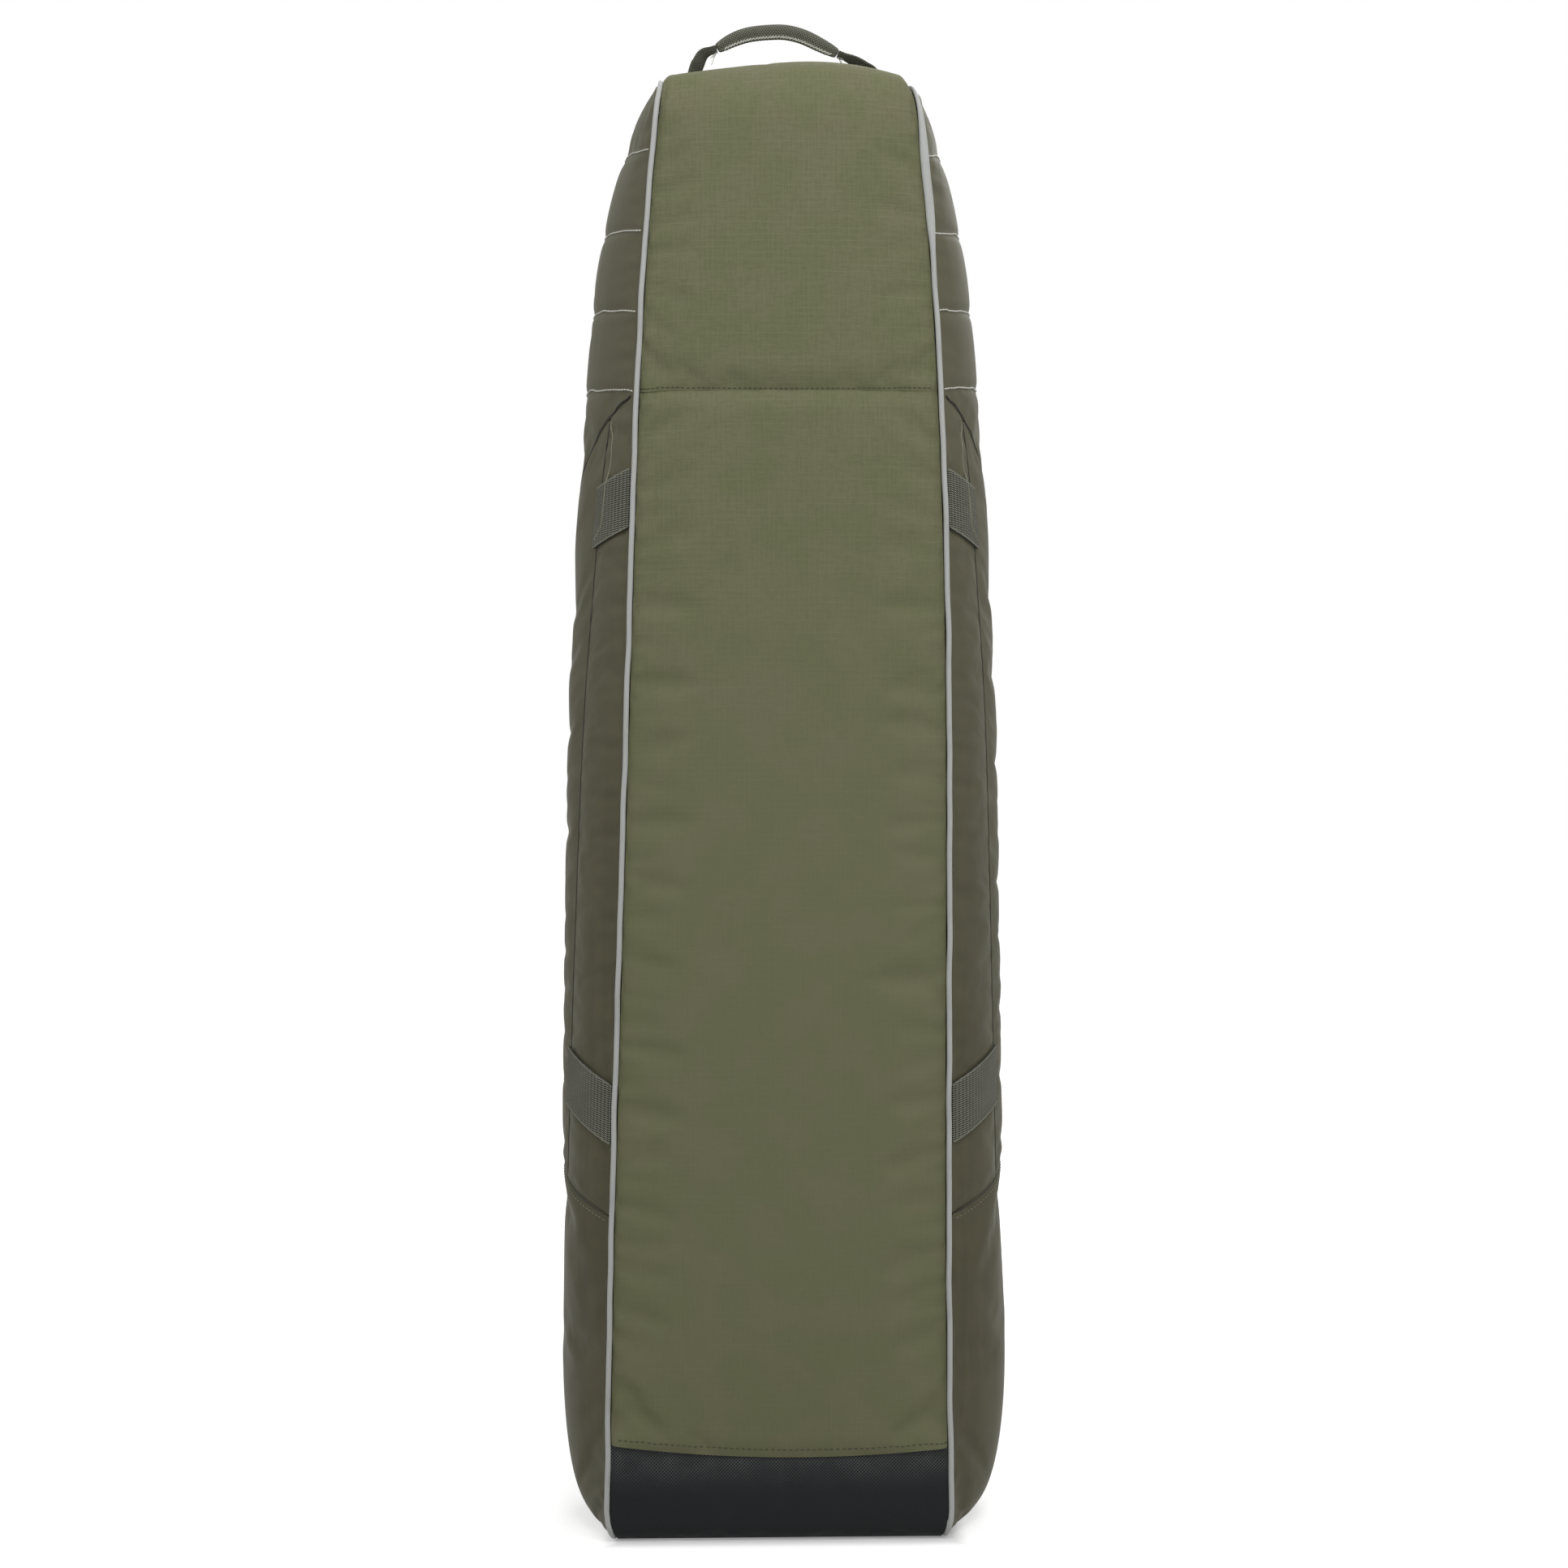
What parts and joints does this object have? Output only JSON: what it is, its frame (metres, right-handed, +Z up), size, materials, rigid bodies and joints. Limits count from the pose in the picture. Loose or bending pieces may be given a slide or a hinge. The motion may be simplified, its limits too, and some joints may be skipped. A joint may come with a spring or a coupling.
{
  "type": "snowboard bag",
  "caption": "Padded upright board bag with quilted sides, piped olive panels, a black boot base, a zipped front lid, handles and inner tie-down straps.",
  "frame": {"origin": "centre of the flat base, on the floor", "axes": "+Z up along the bag, +X across it to the right as pictured, +Y from the pictured back panel to the zipped front"},
  "size_m": [0.5064, 0.2636, 1.6819],
  "materials": {
    "panel_ripstop": "matte ripstop weave",
    "side_fabric": "satin plain weave",
    "base_tarpaulin": "embossed coated tarpaulin, semi-gloss",
    "webbing": "coarse woven webbing",
    "handle_webbing": "coarse woven webbing",
    "piping": "light grey coated piping",
    "zip_tape": "knitted tape",
    "zip_teeth": "moulded satin",
    "zip_metal": "dark plated",
    "zip_pull": "moulded satin",
    "lining": "plain woven lining over foam",
    "board": "extruded sheet",
    "tie_webbing": "woven webbing"
  },
  "bodies": {
    "bag": {"nose_panel": "panel_ripstop", "back_panel": "panel_ripstop", "base_boot": "base_tarpaulin", "front_border": "panel_ripstop", "side_nose_left": "side_fabric", "side_rear_left": "side_fabric", "side_centre_left": "side_fabric", "side_front_left": "side_fabric", "side_tail_left": "side_fabric", "piping_left": "piping", "band_upper_left": "webbing", "band_lower_left": "webbing", "side_lining_left": "lining", "side_nose_right": "side_fabric", "side_rear_right": "side_fabric", "side_centre_right": "side_fabric", "side_front_right": "side_fabric", "side_tail_right": "side_fabric", "piping_right": "piping", "band_upper_right": "webbing", "band_lower_right": "webbing", "side_lining_right": "lining", "grab_handle_feet": "handle_webbing", "carry_handle_feet": "handle_webbing", "zip_tape_border": "zip_tape", "zip_teeth_border": "zip_teeth", "zip_stops": "zip_metal", "back_pad": "lining", "base_board": "board", "tie_strap_upper_fixed": "tie_webbing", "tie_strap_lower_fixed": "tie_webbing"},
    "lid": {"lid_panel": "panel_ripstop", "lid_pad": "lining", "zip_tape_lid": "zip_tape", "zip_teeth_lid": "zip_teeth"},
    "slider_upper": {"zip_slider_upper": "zip_metal"},
    "slider_lower": {"zip_slider_lower": "zip_metal"},
    "pull_upper": {"zip_pull_upper": "zip_pull"},
    "pull_lower": {"zip_pull_lower": "zip_pull"},
    "grab_handle": {"grab_handle_webbing": "handle_webbing", "grab_handle_grip": "handle_webbing"},
    "carry_handle": {"carry_handle_webbing": "handle_webbing", "carry_handle_grip": "handle_webbing"},
    "tie_upper": {"tie_strap_upper_loose": "tie_webbing"},
    "tie_lower": {"tie_strap_lower_loose": "tie_webbing"}
  },
  "joints": [
    {"name": "lid_hinge", "type": "hinge", "parent": "bag", "child": "lid", "pos_m": [-0.132, 0.115, 0.795], "axis": [0, 0, 1], "range_deg": [0, 165]},
    {"name": "slider_upper_slide", "type": "slide", "parent": "lid", "child": "slider_upper", "axis": [0, 0, 1], "range_m": [0, 0.55]},
    {"name": "slider_lower_slide", "type": "slide", "parent": "lid", "child": "slider_lower", "axis": [0, 0, 1], "range_m": [-0.55, 0]},
    {"name": "pull_upper_hinge", "type": "hinge", "parent": "slider_upper", "child": "pull_upper", "pos_m": [0.132, 0.1185, 0.814], "axis": [1, 0, 0], "range_deg": [0, 150]},
    {"name": "pull_lower_hinge", "type": "hinge", "parent": "slider_lower", "child": "pull_lower", "pos_m": [0.132, 0.1185, 0.776], "axis": [1, 0, 0], "range_deg": [0, 150]},
    {"name": "grab_handle_swing", "type": "hinge", "parent": "bag", "child": "grab_handle", "pos_m": [0, 0, 1.61387], "axis": [1, 0, 0], "range_deg": [-70, 70]},
    {"name": "carry_handle_swing", "type": "hinge", "parent": "bag", "child": "carry_handle", "pos_m": [0.15853, 0.1201, 0.795], "axis": [0, 0, 1], "range_deg": [0, 88]},
    {"name": "tie_upper_swing", "type": "hinge", "parent": "bag", "child": "tie_upper", "pos_m": [-0.14348, -0.0968, 1.05], "axis": [0, 0, 1], "range_deg": [0, 100]},
    {"name": "tie_lower_swing", "type": "hinge", "parent": "bag", "child": "tie_lower", "pos_m": [-0.14348, -0.0968, 0.48], "axis": [0, 0, 1], "range_deg": [0, 100]}
  ]
}
